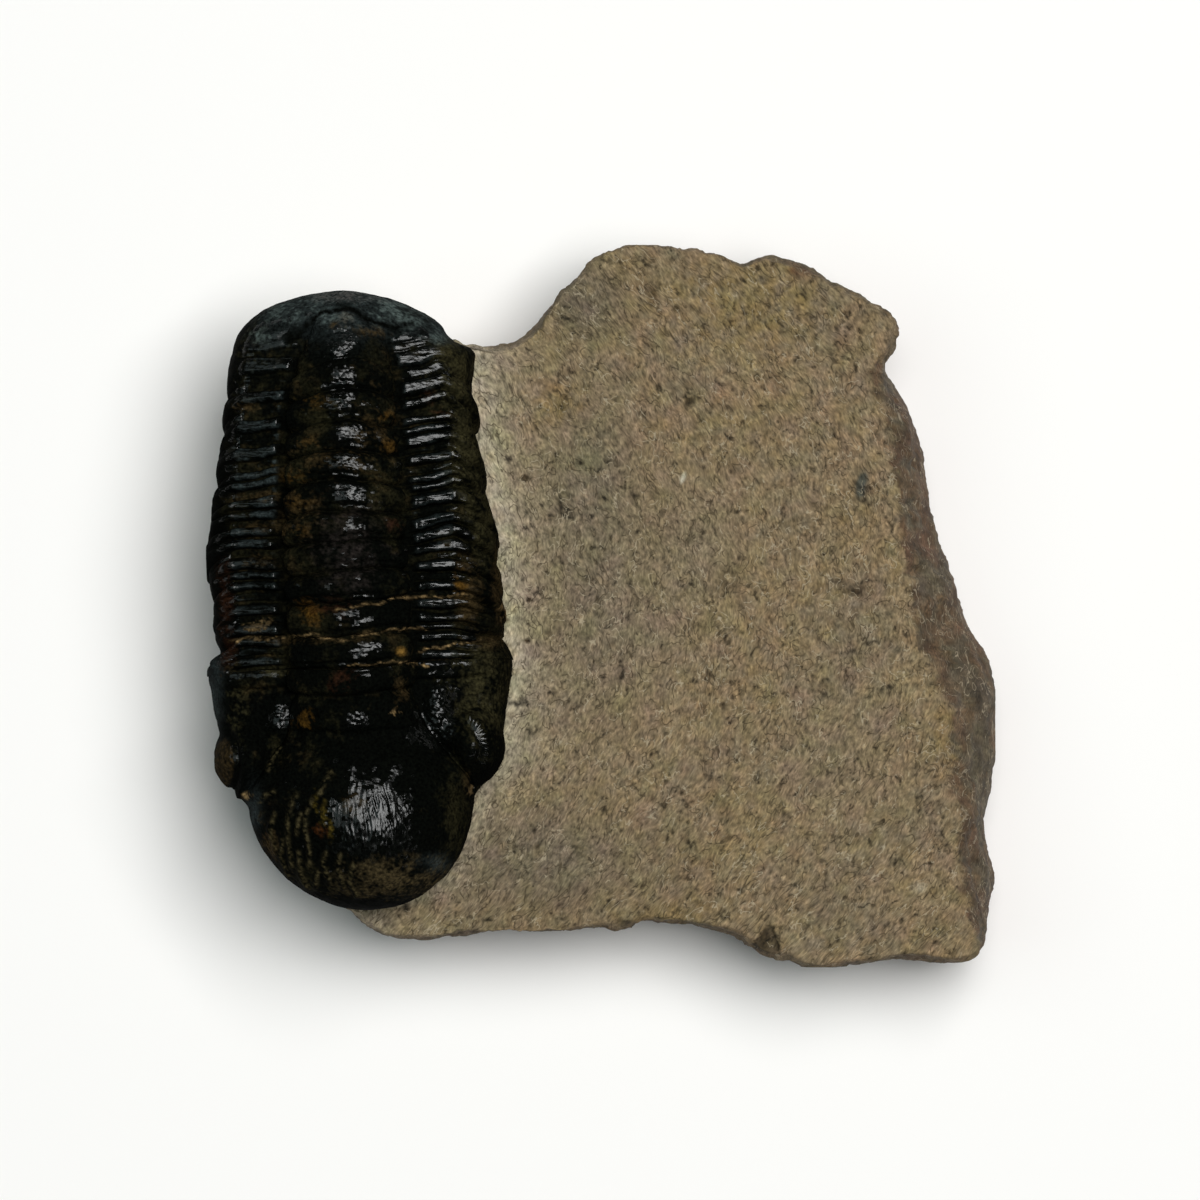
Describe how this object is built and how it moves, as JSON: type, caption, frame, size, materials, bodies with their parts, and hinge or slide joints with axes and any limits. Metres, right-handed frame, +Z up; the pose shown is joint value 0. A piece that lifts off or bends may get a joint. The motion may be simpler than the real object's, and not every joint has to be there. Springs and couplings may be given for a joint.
{
  "type": "trilobite fossil",
  "caption": "Dark, glossy, ribbed trilobite lying along one edge of a rough flat-topped piece of tan limestone.",
  "frame": {"origin": "centre of the bounding box at the flat underside", "axes": "+X across the stone away from the trilobite's side, +Y towards the trilobite's tail shield, +Z up out of the underside"},
  "size_m": [0.0712, 0.065, 0.0293],
  "materials": {
    "limestone": "dry, finely pitted and scratched by preparation tools, with a dark weathered right edge",
    "calcite": "near-black and glossy, with ochre and olive patches in the furrows"
  },
  "bodies": {
    "root": {"matrix": "limestone", "trilobite": "calcite"}
  },
  "joints": []
}
